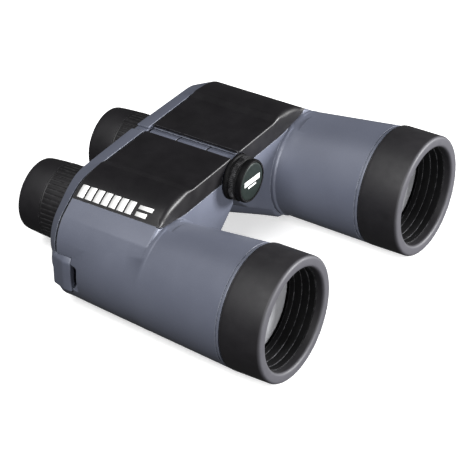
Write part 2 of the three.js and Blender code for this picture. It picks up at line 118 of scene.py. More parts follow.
def eased(points, steps=5):
    """The same outline, with each corner (x, z, reach) turned into a soft curve."""
    out = []
    for i, corner in enumerate(points):
        if len(corner) == 2:
            out.append(corner)
            continue
        here = Vector(corner[:2])
        before = Vector(points[i - 1][:2])
        after = Vector(points[(i + 1) % len(points)][:2])
        start = here + (before - here).normalized() * corner[2]
        end = here + (after - here).normalized() * corner[2]
        for k in range(steps + 1):
            t = k / steps
            point = start * (1 - t) ** 2 + here * 2 * t * (1 - t) + end * t ** 2
            out.append((point.x, point.y))
    return out


def station(outline, y):
    return [(x, y, z) for x, z in outline]


def circle(x, z, r, y):
    turns = [2 * math.pi * i / ROUND for i in range(ROUND)]
    return [(x + r * math.cos(a), y, z + r * math.sin(a)) for a in turns]


def under_cover(inset):
    """From the hinge notch over the step that the top cover lies in, to the outer corner."""
    return [
        *arc(*HINGE, NOTCH_R + inset, -83.5, 70.5, 18),
        (50.6, 64.2 - inset),
        (58.8, 62.8 - inset),
        (65.6, 58.7 - inset),
        (66.8 - 0.3 * inset, 59.95 - 1.7 * inset),
    ]


def seam_sides(low, inset):
    return [
        *arc(60.5, 38.5, 21.3 - inset, 50, -15, 18),
        *arc(58.5, 24.8, 23.4 - inset, 5, -90, 22),
        *arc(*EYEPIECE, 22.7 - inset, -95, -175, 22),
        (low + inset, 38 + inset),
    ]


def wall_sides(low, inset):
    return [
        *arc(61, 37.5, 22.2 - inset, 48, -15, 18),
        *arc(59.8, 27.2, 25.8 - inset, 0, -90, 22),
        *arc(62, 29.6, 30.5 - inset, -130, -150, 21),
        (13 + inset * 0.5, 28 + inset),
        (low + inset, 38 + inset),
    ]


def rear_cover_front(edge, low):
    return eased([
        (edge, 66),
        (51.3, 66, 4),
        (59.8, 64.4, 3.5),
        (66.8, 59.9, 2),
        *arc(60.5, 38.5, 21.3, 50, -15, 14),
        *arc(58.5, 24.8, 23.4, 5, -90, 18),
        *arc(*EYEPIECE, 22.7, -95, -175, 18),
        (low, 38),
    ])


def rear_cover_back(edge, low):
    return eased([
        (edge, 65.6),
        (49, 64.6, 4),
        (55, 62.6, 2.5),
        (60.2, 59.4, 2),
        *arc(55.5, 36.5, 20.6, 55, -15, 14),
        *arc(54.5, 27, 21.6, 0, -90, 18),
        *arc(*EYEPIECE, 22.2, -95, -175, 18),
        (low, 39),
    ])


# ---------------------------------------------------------------- mesh tools

def wire(bm, points, closed=True):
    verts = [bm.verts.new(p) for p in points]
    pairs = list(zip(verts, verts[1:]))
    if closed:
        pairs.append((verts[-1], verts[0]))
    return [bm.edges.new(pair) for pair in pairs]


def loft(rings):
    """A closed body through rings with the same number of points."""
    bm = bmesh.new()
    loops = [wire(bm, ring) for ring in rings]
    for a, b in zip(loops, loops[1:]):
        bmesh.ops.bridge_loops(bm, edges=a + b)
    bmesh.ops.edgeloop_fill(bm, edges=loops[0])
    bmesh.ops.edgeloop_fill(bm, edges=loops[-1])
    bmesh.ops.recalc_face_normals(bm, faces=bm.faces)
    return bm


def plate(outline, y0, y1):
    return loft([station(outline, y0), station(outline, y1)])


def turned(profile, at=(0.0, 0.0), steps=ROUND, rounding=4):
    """A turned body. The profile is (radius, y) or (radius, y, rounding reach)."""
    bm = bmesh.new()
    solid = profile[0][0] == 0 and profile[-1][0] == 0
    wire(bm, [(p[0], p[1], 0) for p in profile], closed=not solid)
    bm.verts.ensure_lookup_table()
    corners = [(v, p[2]) for v, p in zip(list(bm.verts), profile) if len(p) > 2]
    for corner, reach in corners:
        bmesh.ops.bevel(bm, geom=[corner], offset=reach, segments=rounding, profile=0.5,
                        affect="VERTICES", material=-1)
    bmesh.ops.spin(bm, geom=bm.verts[:] + bm.edges[:], cent=(0, 0, 0), axis=(0, 1, 0),
                   dvec=(0, 0, 0), angle=2 * math.pi, steps=steps, use_merge=True)
    bmesh.ops.remove_doubles(bm, verts=bm.verts[:], dist=1e-4)
    bmesh.ops.recalc_face_normals(bm, faces=bm.faces)
    bmesh.ops.translate(bm, verts=bm.verts, vec=(at[0], 0, at[1]))
    return bm


def repeated(bm, count, at):
    """The same shape drawn count times round an axis, beginning at its top."""
    bmesh.ops.spin(bm, geom=bm.verts[:] + bm.edges[:] + bm.faces[:], cent=(0, 0, 0), axis=(0, 1, 0),
                   dvec=(0, 0, 0), angle=2 * math.pi * (count - 1) / count, steps=count - 1,
                   use_duplicate=True)
    bmesh.ops.translate(bm, verts=bm.verts, vec=(at[0], 0, at[1]))
    return bm


def disc(r, y0, y1, at, soft=0.0):
    edge = [(r, y0, soft), (r, y1, soft)] if soft else [(r, y0), (r, y1)]
    return turned([(0, y0), *edge, (0, y1)], at)


def block(x, y, z, soft=0.0):
    bm = bmesh.new()
    bmesh.ops.create_cube(bm, size=1)
    bmesh.ops.scale(bm, verts=bm.verts, vec=(x[1] - x[0], y[1] - y[0], z[1] - z[0]))
    bmesh.ops.translate(bm, verts=bm.verts, vec=[(low + high) / 2 for low, high in (x, y, z)])
    if soft:
        bmesh.ops.bevel(bm, geom=bm.edges[:], offset=soft, segments=3, profile=0.5,
                        affect="EDGES", material=-1)
    return bm


def soften(bm, chosen, reach, segments=4):
    """Rounds the edges whose midpoint passes the test."""
    edges = [e for e in bm.edges if chosen((e.verts[0].co + e.verts[1].co) / 2, e)]
    bmesh.ops.bevel(bm, geom=edges, offset=reach, segments=segments, profile=0.5,
                    affect="EDGES", material=-1, clamp_overlap=True)
    return bm


def loose_object(bm):
    mesh = bpy.data.meshes.new("blank")
    bm.to_mesh(mesh)
    bm.free()
    obj = bpy.data.objects.new("blank", mesh)
    bpy.context.scene.collection.objects.link(obj)
    return obj


def carve(solid, tool, how="DIFFERENCE"):
    """Cuts one closed body with another, or joins them."""
    base, cutter = loose_object(solid), loose_object(tool)
    step = base.modifiers.new("carve", "BOOLEAN")
    step.operation = how
    step.solver = "EXACT"
    step.object = cutter
    shaped = base.evaluated_get(bpy.context.evaluated_depsgraph_get())
    result = bmesh.new()
    result.from_mesh(shaped.to_mesh())
    for obj in (base, cutter):
        mesh = obj.data
        bpy.data.objects.remove(obj)
        bpy.data.meshes.remove(mesh)
    return result


def cut(solid, *tools):
    for tool in tools:
        solid = carve(solid, tool)
    return solid


def add(first, *others):
    """Puts several separate bodies in one mesh."""
    for other in others:
        mesh = bpy.data.meshes.new("blank")
        other.to_mesh(mesh)
        other.free()
        first.from_mesh(mesh)
        bpy.data.meshes.remove(mesh)
    return first


def finish_piece(bm, name, body, slot, nodes=(), mirror=False, bevel=0.0, wall=0.0, angle=35):
    """Moves a drawn body to its place and hands it over as a piece of the model."""
    place = Matrix.Translation((0, DATUM * MM, 0)) @ Matrix.Scale(MM, 4)
    bmesh.ops.transform(bm, matrix=place, verts=bm.verts)
    if mirror:
        bmesh.ops.scale(bm, verts=bm.verts, vec=(-1, 1, 1))
        bmesh.ops.reverse_faces(bm, faces=bm.faces)
    mesh = bpy.data.meshes.new(name)
    bm.to_mesh(mesh)
    bm.free()
    mesh.shade_smooth()
    mesh.set_sharp_from_angle(angle=math.radians(angle))
    obj = bpy.data.objects.new(name, mesh)
    bpy.context.scene.collection.objects.link(obj)
    mesh.materials.append(FINISHES[slot])
    if wall:
        skin = obj.modifiers.new("wall", "SOLIDIFY")
        skin.thickness = wall * MM
        skin.offset = -1
    if bevel:
        edge = obj.modifiers.new("soft edges", "BEVEL")
        edge.width = bevel * MM
        edge.segments = 3
        edge.limit_method = "ANGLE"
        edge.angle_limit = math.radians(40)
        edge.harden_normals = True
    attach(obj, body)
    if nodes:
        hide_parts(*nodes)
    return obj


# ---------------------------------------------------------------- finishes

def blank_material(name):
    material = bpy.data.materials.new(name)
    material.use_nodes = True
    tree = material.node_tree
    surface = tree.nodes["Principled BSDF"]
    place = tree.nodes.new("ShaderNodeTexCoord")
    return material, tree, surface, place.outputs["Object"]


def noise(tree, place, size, detail=3.0):
    """A noise whose features are about size millimetres across."""
    node = tree.nodes.new("ShaderNodeTexNoise")
    node.inputs["Scale"].default_value = 1 / (size * MM)
    node.inputs["Detail"].default_value = detail
    tree.links.new(place, node.inputs["Vector"])
    return node.outputs["Fac"]


def ramp(tree, value, stops):
    node = tree.nodes.new("ShaderNodeValToRGB")
    elements = node.color_ramp.elements
    while len(elements) < len(stops):
        elements.new(0.5)
    for element, (at, colour) in zip(elements, stops):
        element.position = at
        element.color = (*colour, 1)
    tree.links.new(value, node.inputs["Fac"])
    return node.outputs["Color"]


def blend(tree, amount, first, second):
    node = tree.nodes.new("ShaderNodeMix")
    node.data_type = "RGBA"
    colour_a, colour_b = [s for s in node.inputs if s.type == "RGBA"]
    tree.links.new(amount, node.inputs[0])
    for socket, value in ((colour_a, first), (colour_b, second)):
        if isinstance(value, tuple):
            socket.default_value = (*value, 1)
        else:
            tree.links.new(value, socket)
    return [s for s in node.outputs if s.type == "RGBA"][0]


def span(tree, value, low, high, start=0.0, end=1.0):
    node = tree.nodes.new("ShaderNodeMapRange")
    node.inputs["From Min"].default_value = start
    node.inputs["From Max"].default_value = end
    node.inputs["To Min"].default_value = low
    node.inputs["To Max"].default_value = high
    tree.links.new(value, node.inputs["Value"])
    return node.outputs["Result"]


def bump(tree, surface, height, depth, round_off=0.0):
    """Grain of a depth in millimetres; round_off softens the light across every crease."""
    node = tree.nodes.new("ShaderNodeBump")
    if round_off:
        soft = tree.nodes.new("ShaderNodeBevel")
        soft.samples = 8
        soft.inputs["Radius"].default_value = round_off * MM
        tree.links.new(soft.outputs["Normal"], node.inputs["Normal"])
    node.inputs["Strength"].default_value = 1.0
    node.inputs["Distance"].default_value = depth * MM
    tree.links.new(height, node.inputs["Height"])
    tree.links.new(node.outputs["Normal"], surface.inputs["Normal"])


def rubbed_and_highlit_edges(tree):
    """1 along edges and 0 on the flats, from how far a rounded normal leans away. It marks lighter edges,
    partly rubbed wear and partly painted highlight.
    """
    soft = tree.nodes.new("ShaderNodeBevel")
    soft.samples = 4
    soft.inputs["Radius"].default_value = 0.5 * MM
    geometry = tree.nodes.new("ShaderNodeNewGeometry")
    lean = tree.nodes.new("ShaderNodeVectorMath")
    lean.operation = "DOT_PRODUCT"
    tree.links.new(soft.outputs["Normal"], lean.inputs[0])
    tree.links.new(geometry.outputs["Normal"], lean.inputs[1])
    return span(tree, lean.outputs["Value"], 1.0, 0.0, 0.80, 0.985)


def moulded(name, dark, light, roughness, patch, grain, depth, metallic=0.0, edge=None, painted_lip_reflection=None,
            round_off=0.0, shine=0.5):
    """A paint or moulding: soft tone changes, uneven gloss, fine grain, and lighter edges that are partly
    rubbed wear and partly painted highlight.

    The tone changes over patches, and the grain has a size and a depth, all in millimetres.
    A painted lip reflection (y0, y1, colour) is a paler tone, painted in place of a reflection, that comes in
    from one station to another.
    """
    material, tree, surface, place = blank_material(name)
    colour = ramp(tree, noise(tree, place, patch), [(0.3, dark), (0.7, light)])
    speck = noise(tree, place, grain * 1.7, 2.0)
    colour = blend(tree, span(tree, speck, 0.0, 0.3, 0.55, 0.75), colour, tuple(c * 1.35 for c in light))
    # Lighter edges: partly rubbed wear and partly a painted highlight along the edges.
    if edge:
        broken = noise(tree, place, 2.2, 4.0)
        rub_and_highlight = tree.nodes.new("ShaderNodeMath")
        rub_and_highlight.operation = "MULTIPLY"
        tree.links.new(rubbed_and_highlit_edges(tree), rub_and_highlight.inputs[0])
        tree.links.new(span(tree, broken, 0.15, 0.9, 0.4, 0.65), rub_and_highlight.inputs[1])
        colour = blend(tree, rub_and_highlight.outputs[0], colour, edge)
    # Painted reflection: the tone grows paler toward the front face, in place of the light that face would
    # reflect.
    if painted_lip_reflection:
        apart = tree.nodes.new("ShaderNodeSeparateXYZ")
        tree.links.new(place, apart.inputs["Vector"])
        reach = span(tree, apart.outputs["Y"], 0.0, 1.0, painted_lip_reflection[0] * MM, painted_lip_reflection[1] * MM)
        colour = blend(tree, reach, colour, painted_lip_reflection[2])
    tree.links.new(colour, surface.inputs["Base Color"])
    gloss = span(tree, noise(tree, place, patch * 0.35, 4.0), *roughness, 0.3, 0.7)
    tree.links.new(gloss, surface.inputs["Roughness"])
    surface.inputs["Metallic"].default_value = metallic
    surface.inputs["Specular IOR Level"].default_value = shine
    bump(tree, surface, noise(tree, place, grain, 2.0), depth, round_off=round_off)
    return material


# The edge tone of each finish is partly rubbed wear and partly a painted highlight along its edges.
def grey_paint():
    return moulded("grey_paint", (0.098, 0.107, 0.142), (0.112, 0.122, 0.160), (0.40, 0.48),
                   28, 0.28, 0.006, metallic=0.1, edge=(0.30, 0.32, 0.37), round_off=0.3)


def black_cover():
    return moulded("black_cover", (0.0030, 0.0026, 0.0034), (0.0050, 0.0044, 0.0056), (0.40, 0.50),
                   20, 0.45, 0.018, edge=(0.11, 0.11, 0.12), shine=0.38)


def black_rubber():
    return moulded("black_rubber", (0.0065, 0.0060, 0.0074), (0.0105, 0.0096, 0.0115), (0.50, 0.62),
                   14, 0.40, 0.045, edge=(0.10, 0.098, 0.106),
                   # painted reflection: a paler tone over the ring's front face
                   painted_lip_reflection=(DATUM + RING_FRONT - 1.7, DATUM + RING_FRONT - 0.1, (0.058, 0.057, 0.066)),
                   shine=0.42)


def black_grip():
    return moulded("black_grip", (0.0040, 0.0036, 0.0045), (0.0068, 0.0062, 0.0075), (0.48, 0.60),
                   12, 0.45, 0.035, edge=(0.05, 0.049, 0.053))


def black_cap():
    return moulded("black_cap", (0.0022, 0.0021, 0.0024), (0.0038, 0.0036, 0.0040), (0.50, 0.60),
                   8, 0.30, 0.008, edge=(0.12, 0.12, 0.125), shine=0.08)


def cap_disc():
    return moulded("cap_disc", (0.012, 0.018, 0.016), (0.018, 0.026, 0.023), (0.34, 0.44),
                   6, 0.25, 0.006, metallic=0.3)


def anodised_black():
    return moulded("anodised_black", (0.0016, 0.0016, 0.0019), (0.0030, 0.0030, 0.0034), (0.62, 0.74),
                   9, 0.25, 0.010, edge=(0.13, 0.13, 0.14), shine=0.12)


def seal_rubber():
    return moulded("seal_rubber", (0.008, 0.008, 0.008), (0.013, 0.013, 0.013), (0.55, 0.7),
                   8, 0.3, 0.01)


def white_print():
    return moulded("white_print", (0.74, 0.74, 0.73), (0.82, 0.82, 0.81), (0.5, 0.62), 6, 0.2, 0.004)


def machined(name, dark, light, roughness):
    """Bare metal with fine turning marks round the length of the piece."""
    material, tree, surface, place = blank_material(name)
    stretch = tree.nodes.new("ShaderNodeMapping")
    stretch.inputs["Scale"].default_value = (0.12, 1.0, 0.12)
    tree.links.new(place, stretch.inputs["Vector"])
    marks = noise(tree, stretch.outputs["Vector"], 0.18, 3.0)
    tree.links.new(ramp(tree, marks, [(0.3, dark), (0.7, light)]), surface.inputs["Base Color"])
    tree.links.new(span(tree, noise(tree, place, 5), *roughness, 0.3, 0.7), surface.inputs["Roughness"])
    surface.inputs["Metallic"].default_value = 1.0
    bump(tree, surface, marks, 0.006)
    return material


def optical_glass():
    """Coated glass: clear, with a faint cool sheen and a little haze."""
    material, tree, surface, place = blank_material("optical_glass")
    dust = noise(tree, place, 6.0, 2.0)
    tree.links.new(ramp(tree, dust, [(0.35, (0.55, 0.60, 0.58)), (0.75, (0.62, 0.66, 0.64))]),
                   surface.inputs["Base Color"])
    tree.links.new(span(tree, dust, 0.07, 0.12, 0.4, 0.8), surface.inputs["Roughness"])
    surface.inputs["IOR"].default_value = 1.52
    surface.inputs["Transmission Weight"].default_value = 1.0
    surface.inputs["Specular Tint"].default_value = (0.62, 0.80, 1.0, 1)
    return material


def front_glass_painted_reflection():
    """The front lens's coated face: a pale, milky base colour over clear glass, painted in place of a
    reflection.
    """
    material, tree, surface, place = blank_material("front_glass_painted_reflection")
    # Painted reflection: the pale base colour stands in for light reflected off the lens's face; the noise
    # varies it.
    haze = noise(tree, place, 9, 3.0)
    tree.links.new(ramp(tree, haze, [(0.3, (0.50, 0.505, 0.53)), (0.7, (0.58, 0.585, 0.61))]),
                   surface.inputs["Base Color"])
    tree.links.new(span(tree, haze, 0.10, 0.16, 0.3, 0.7), surface.inputs["Roughness"])
    surface.inputs["IOR"].default_value = 1.6
    surface.inputs["Transmission Weight"].default_value = 0.45
    surface.inputs["Coat Weight"].default_value = 0.6
    surface.inputs["Coat Roughness"].default_value = 0.03
    return material


FINISHES = {
    "grey_paint": grey_paint(),
    "black_cover": black_cover(),
    "black_rubber": black_rubber(),
    "black_grip": black_grip(),
    "black_cap": black_cap(),
    "cap_disc": cap_disc(),
    "anodised_black": anodised_black(),
    "seal_rubber": seal_rubber(),
    "optical_glass": optical_glass(),
    "aluminium": machined("aluminium", (0.48, 0.49, 0.50), (0.60, 0.61, 0.62), (0.32, 0.45)),
    "steel": machined("steel", (0.42, 0.42, 0.43), (0.56, 0.56, 0.57), (0.24, 0.38)),
    "spring_steel": machined("spring_steel", (0.36, 0.37, 0.39), (0.48, 0.49, 0.51), (0.28, 0.4)),
}
PRINT = white_print()
FRONT_GLASS_PAINTED_REFLECTION = front_glass_painted_reflection()


# ---------------------------------------------------------------- housing

def tube_circle(y, flange=0.0, inset=0.0):
    """The tapered tube's ring at a station; the flange swells on the hinge side only."""
    t = (y - TUBE_BACK["y"]) / (TUBE_FRONT["y"] - TUBE_BACK["y"])
    x, z, r = (TUBE_BACK[k] + (TUBE_FRONT[k] - TUBE_BACK[k]) * t for k in "xzr")
    ring = []
    for i in range(ROUND):
        a = 2 * math.pi * i / ROUND
        reach = r - inset + flange * ((1 - math.cos(a)) / 2) ** 1.4
        ring.append((x + reach * math.cos(a), y, z + reach * math.sin(a)))
    return ring


BROW_ROOM = [(-9, 55.2), (44, 55.2), (57.6, 57.0), (64.9, 58.25), (67.3, 59.9), (75, 75), (-9, 75)]


def tube_solid():
    """The tapered tube with its flange, groove and rounded end, and the neck for the ring.

    It begins just inside the housing's side, so that it grows out of it without a step.
    """
    rings = [circle(58.5, 24.8, 23.2, SEAM_Y + 0.1)]
    rings += [tube_circle(y) for y in (TUBE_BACK["y"], -6, 4, WALL_Y - 0.6)]
    flange_front, fall, fall_steps = WALL_Y + 1.4, 1.2, 8
    rings += [tube_circle(WALL_Y - 0.5, FLANGE), tube_circle(flange_front, FLANGE)]
    for i in range(1, fall_steps + 1):
        t = i / fall_steps
        rings.append(tube_circle(flange_front + fall * t, FLANGE * (1 + math.cos(math.pi * t)) / 2))
    rings += [tube_circle(y) for y in (26, 34, 42, 50, 57, 63)]
    rings += [tube_circle(y, inset=depth) for y, depth in TUBE_END]
    rings += [circle(*OBJECTIVE, 29.3, y) for y in (RING_Y + 0.02, NECK_END)]
    return loft(rings)


def tube_bore():
    """The hollow of the tube, up to the straight bore of the neck."""
    rings = [tube_circle(y, inset=WALL) for y in (WALL_Y - 8, 26, 44, RING_Y - 4.5)]
    return loft(rings + [circle(*OBJECTIVE, 27.9, y) for y in (RING_Y - 4.4, NECK_END + 2)])


def housing(side):
    """The hollow housing with its tube, open at the back, the light's path and the lug's slot."""
    low = SIDES[side]["low"]
    shell = loft([
        station(under_cover(0) + seam_sides(low, 0), SEAM_Y),
        station(under_cover(0) + wall_sides(low, 0), WALL_Y),
    ])
    hinge = Vector((HINGE[0], WALL_Y, HINGE[1]))

    def outer_front(at, _edge):
        return at.y > WALL_Y - 0.01 and at.z < 59.9 and (at - hinge).length > 11.6

    soften(shell, outer_front, 1.3, 5)
    cavity = loft([
        station(under_cover(WALL) + seam_sides(low, WALL), SEAM_Y - 1),
        station(under_cover(WALL) + wall_sides(low, WALL), WALL_Y - WALL - 1.8),
    ])
    arm_room = block((LUG_SLOT_X[0], 95), (SEAM_Y - 1, -27.7), (LUG_Z[0] - 0.4, LUG_Z[1] + 0.3))
    slot = block((LUG_SLOT_X[0], 95), (-29, -23.2), LUG_SLOT_Z, 1.6)
    boss = block((74.2, 90), (SEAM_Y - 2, -22.5), (16, 36))
    brow_room = plate(BROW_ROOM, WALL_Y - 1.8, WALL_Y + 6)
    shell = carve(shell, tube_solid(), "UNION")
    return cut(shell, brow_room, cut(cavity, boss), tube_bore(), arm_room, slot)


def knuckle(back, front):
    """One hinge knuckle with a web into the housing, bored for the axle."""
    barrel = disc(KNUCKLE_R, back, front, HINGE, 0.35)
    web = block((0.6, 12), (back + 0.35, front - 0.35), (HINGE[1] - KNUCKLE_R + 0.1, HINGE[1] - 7))
    return cut(carve(barrel, web, "UNION"), disc(6.3, SEAM_Y - 1, WALL_Y + 1, HINGE))


# ---------------------------------------------------------------- top cover

BROW = [(44, 55.6), (57.5, 57.4), (64.6, 58.6), (66.8, 60.1)]
PANEL_X = 36.8  # the flat top rises to the outer panel here
SHOULDER = ((51.3, 66.7, 3.6), (59.8, 64.8, 4.4), (66.8, 60.1))


def brow_low(x):
    """The lower edge of the cover's front, which passes round the socket cap."""
    if x < EAR["pass"]:
        return max(BROW[0][1], HINGE[1] + math.sqrt(EAR["pass"] ** 2 - x * x))
    if x <= BROW[0][0]:
        return BROW[0][1]
    for (x0, z0), (x1, z1) in zip(BROW, BROW[1:]):
        if x <= x1 + 1e-6:
            return z0 + (z1 - z0) * (x - x0) / (x1 - x0)
    return BROW[-1][1]


def top_cover(side):
    """One sheet: from the rear edge forward, over a rounded front edge, and down to the brow."""
    edge = SIDES[side]["cover"]
    start = math.degrees(math.acos(edge / EAR["pass"]))
    line = [(EAR["pass"] * math.cos(math.radians(start * (1 - i / 9))), 66.0) for i in range(10)]
    line += eased([(13.5, 66), (PANEL_X, 66, 1.0), (42.0, 67.4, 0.7), *SHOULDER], 6)[1:]
    bm = bmesh.new()
    edges = wire(bm, station(line, SEAM_Y - 0.2), closed=False)
    top = [Vector(p) for p in line]
    radius = []
    for p in top:
        grown = min(max((p.x - PANEL_X) / 12, 0), 1)
        radius.append(min(0.9 + 2.2 * grown, 0.9 * (p.y - brow_low(p.x))))
    front = WALL_Y + 0.1

    def row(place):
        nonlocal edges
        grown = bmesh.ops.extrude_edge_only(bm, edges=edges)["geom"]
        edges = [g for g in grown if isinstance(g, bmesh.types.BMEdge)]
        verts = sorted((g for g in grown if isinstance(g, bmesh.types.BMVert)), key=lambda v: v.co.x)
        for i, vert in enumerate(verts):
            vert.co.y, vert.co.z = place(i)

    row(lambda i: (-12.0, top[i].y))
    row(lambda i: (6.0, top[i].y))
    for k in range(7):
        a = math.radians(15 * k)
        back, drop = 1 - math.sin(a), 1 - math.cos(a)
        row(lambda i: (front - radius[i] * back, top[i].y - radius[i] * drop))
    row(lambda i: (front, brow_low(top[i].x)))
    upper = max(bm.faces, key=lambda f: f.calc_center_median().z - f.calc_center_median().y)
    bmesh.ops.recalc_face_normals(bm, faces=bm.faces)
    if upper.normal.z < 0:
        bmesh.ops.reverse_faces(bm, faces=bm.faces)
    return bm


def shoulder_line():
    """The cover's outline from the raised panel to its outer edge, finely stepped."""
    return eased([(42.0, 67.4), *SHOULDER], 40)


def shoulder_height(x):
    line = shoulder_line()
    for (x0, z0), (x1, z1) in zip(line, line[1:]):
        if x0 <= x <= x1:
            return z0 + (z1 - z0) * (x - x0) / max(x1 - x0, 1e-6)
    return line[-1][1]


def printed_bar(y0, y1, x0, x1):
    """A plain printed bar that lies on the cover's shoulder."""
    across = [x0 + (x1 - x0) * i / 12 for i in range(13)]
    bm = bmesh.new()
    edges = wire(bm, [(x, y0, shoulder_height(x) + 0.03) for x in across], closed=False)
    grown = bmesh.ops.extrude_edge_only(bm, edges=edges)["geom"]
    moved = [g for g in grown if isinstance(g, bmesh.types.BMVert)]
    bmesh.ops.translate(bm, verts=moved, vec=(0, y1 - y0, 0))
    bmesh.ops.recalc_face_normals(bm, faces=bm.faces)
    if sum(f.normal.z for f in bm.faces) < 0:
        bmesh.ops.reverse_faces(bm, faces=bm.faces)
    return bm


def label():
    """A row of plain blocks, and two short bars beside it."""
    blocks = [printed_bar(-35.2 + 4.7 * i, -31.5 + 4.7 * i, 59.4, 65.6) for i in range(7)]
    bars = [printed_bar(-1.0, 7.0, 60.0, 62.0), printed_bar(-1.0, 5.2, 63.3, 65.3)]
    return add(*blocks, *bars)


# ---------------------------------------------------------------- rear cover

def lug_arm():
    """The strap lug: an arm that stands off the housing's side."""
    z0, z1 = LUG_Z

    def section(y, inner, outer):
        outline = [(inner, z0), (outer, z0 + 0.8), (outer, z1 - 2.4), (outer - 2, z1), (inner, z1)]
        return station(outline, y)

    arm = loft([
        section(-28, 78, 84),
        section(-32.5, 76, 84),
        section(-40.2, 72, 81.4),
        section(-43.6, 70, 76.8),
    ])
    soften(arm, lambda at, e: at.x > 74.5 and e.calc_face_angle(0) > 0.15, 0.7, 4)
    return cut(arm, block((60, LUG_SLOT_X[0] + 0.3), (COVER_FRONT_Y, 0), (0, 60)))


def rear_cover(side):
    """The end cover with the eyepiece's recess. The right one has an ear round the hinge."""
    edge, low = SIDES[side]["rear"], SIDES[side]["low"]
    body = loft([
        station(rear_cover_front(edge, low), COVER_FRONT_Y),
        station(rear_cover_back(edge, low), COVER_BACK_Y),
    ])
    soften(body, lambda at, e: at.y < COVER_BACK_Y + 0.01, 1.1, 5)
    body = carve(body, lug_arm(), "UNION")
    recess = turned([
        (0, -60), (RECESS_R + 0.7, -60), (RECESS_R + 0.7, COVER_BACK_Y), (RECESS_R, COVER_BACK_Y + 0.7),
        (RECESS_R, -39.6), (15.6, -39.6), (15.6, -30), (0, -30),
    ], EYEPIECE)
    slot = block(LUG_SLOT_X, (-60, -24.5), LUG_SLOT_Z)
    body = cut(body, recess, slot)
    if side == "left":
        return cut(body, disc(EAR["clear"], -60, 0, HINGE))
    ear = disc(EAR["outer"], COVER_BACK_Y, COVER_FRONT_Y, HINGE, 0.4)
    room = carve(disc(EAR["pass"], -60, 0, HINGE), block((-20, 6.8), (-60, 0), (62.6, 90)), "INTERSECT")
    return cut(carve(cut(body, room), ear, "UNION"), disc(EAR["inner"], -60, 0, HINGE))


# ---------------------------------------------------------------- objective pieces

def objective_ring():
    return turned([
        (29.6, RING_Y + 0.1), (30.8, RING_Y + 0.1), (30.8, RING_Y + 0.85), (31.85, RING_Y + 0.9, 0.3),
        (32, RING_Y + 2.2), (32, RING_FRONT, 1.7),
        (26.3, RING_FRONT, 1.5), (26.1, 85.0), (29.6, 85.0),
    ], OBJECTIVE, 128, 6)


def objective_retainer():
    """A blackened sleeve whose bore narrows in steps towards the lens."""
    bore = [(25.75, NECK_END + 0.9, 0.2)]
    for y, wide, narrow in ((81.2, 25.75, 25.4), (77.2, 25.4, 25.05), (73.2, 25.05, 24.7)):
        bore += [(wide, y), (narrow + 0.1, y), (narrow, y - 0.15)]
    return turned([(24.7, 70.6), (26.3, 70.6), (26.3, NECK_END + 0.9), *bore], OBJECTIVE, 96, 3)


def lens(r, y0, bulge0, y1, bulge1, at):
    def face(y, bulge):
        return [(r * i / 14, y + bulge * (1 - (i / 14) ** 2)) for i in range(15)]
    return turned(face(y0, -bulge0) + face(y1, bulge1)[::-1], at, 96)


# ---------------------------------------------------------------- eyepiece pieces

def focus_ring():
    body = turned([
        (15.6, -72.3), (20.1, -72.3, 0.15), (20.1, -71.5, 0.3), (RING_R, -71.2), (RING_R, -46.4),
        (20.0, -45.6), (20.0, -43.6, 0.3), (18.9, -43.6), (18.9, -69.9), (15.6, -69.9),
    ], EYEPIECE, 108)
    rib = block((-0.98, 0.98), (-71.3, -45.9), (RING_R - 0.5, RING_R + 0.42), 0.26)
    return add(body, repeated(rib, 48, EYEPIECE))


def eyecup():
    return turned([
        (15.6, -72.36), (20.1, -72.36, 0.12), (19.85, -77), (19.4, EYECUP_Y + 3.6),
        (18.9, EYECUP_Y, 1.6), (17.0, EYECUP_Y, 0.8), (17.2, EYECUP_Y + 3.5), (17.2, -78.4, 0.4),
        (15.6, -78),
    ], EYEPIECE, 96, 6)


# ---------------------------------------------------------------- socket cap

def socket_cap():
    back, front = CAP_BACK, CAP_FRONT
    body = turned([
        (0, back + 2.2), (8.4, back + 2.2), (8.4, back), (12, back, 0.3), (12, back + 1.5, 0.4),
        (10.9, back + 2.0, 0.2), (10.9, back + 2.7, 0.15), (11.45, back + 3.0, 0.2),
        (11.45, back + 5.9, 0.2), (10.7, back + 6.3, 0.15), (10.7, back + 7.1, 0.15),
        (11.3, back + 7.5, 0.2), (11.3, front - 0.9, 0.3), (10.8, front, 0.2), (10.15, front, 0.1),
        (9.9, front - 0.7), (0, front - 0.7),
    ], HINGE, 96, 3)
    tooth = block((-0.17, 0.17), (CAP_BACK + 3.3, CAP_BACK + 5.6), (11.2, 11.72), 0.1)
    return add(body, repeated(tooth, 72, HINGE))


def socket_cap_disc():
    front = CAP_FRONT
    return turned([
        (0, front - 0.6), (9.8, front - 0.6), (9.8, front - 0.35, 0.1), (8.9, front - 0.12, 0.2),
        (0, front - 0.05),
    ], HINGE, 96, 3)


def cap_mark():
    """Two plain printed bars, tilted across the disc."""
    y0, y1 = CAP_FRONT - 0.2, CAP_FRONT
    mark = block((-6.9, 6.9), (y0, y1), (-0.7, 2.1))
    mark = add(mark, block((-3.6, 3.6), (y0, y1), (-2.7, -1.7)))
    turn = Matrix.Translation((HINGE[0], 0, HINGE[1])) @ Matrix.Rotation(math.radians(-3), 4, "Y")
    bmesh.ops.transform(mark, matrix=turn, verts=mark.verts)
    return mark


def hinge_rear_cap():
    back = COVER_BACK_Y
    return turned([
        (0, back), (6.8, back, 0.2), (7.2, back + 0.35, 0.2), (9.1, back + 0.35, 0.4), (9.1, -41.3),
        (0, -41.3),
    ], HINGE, 72, 3)


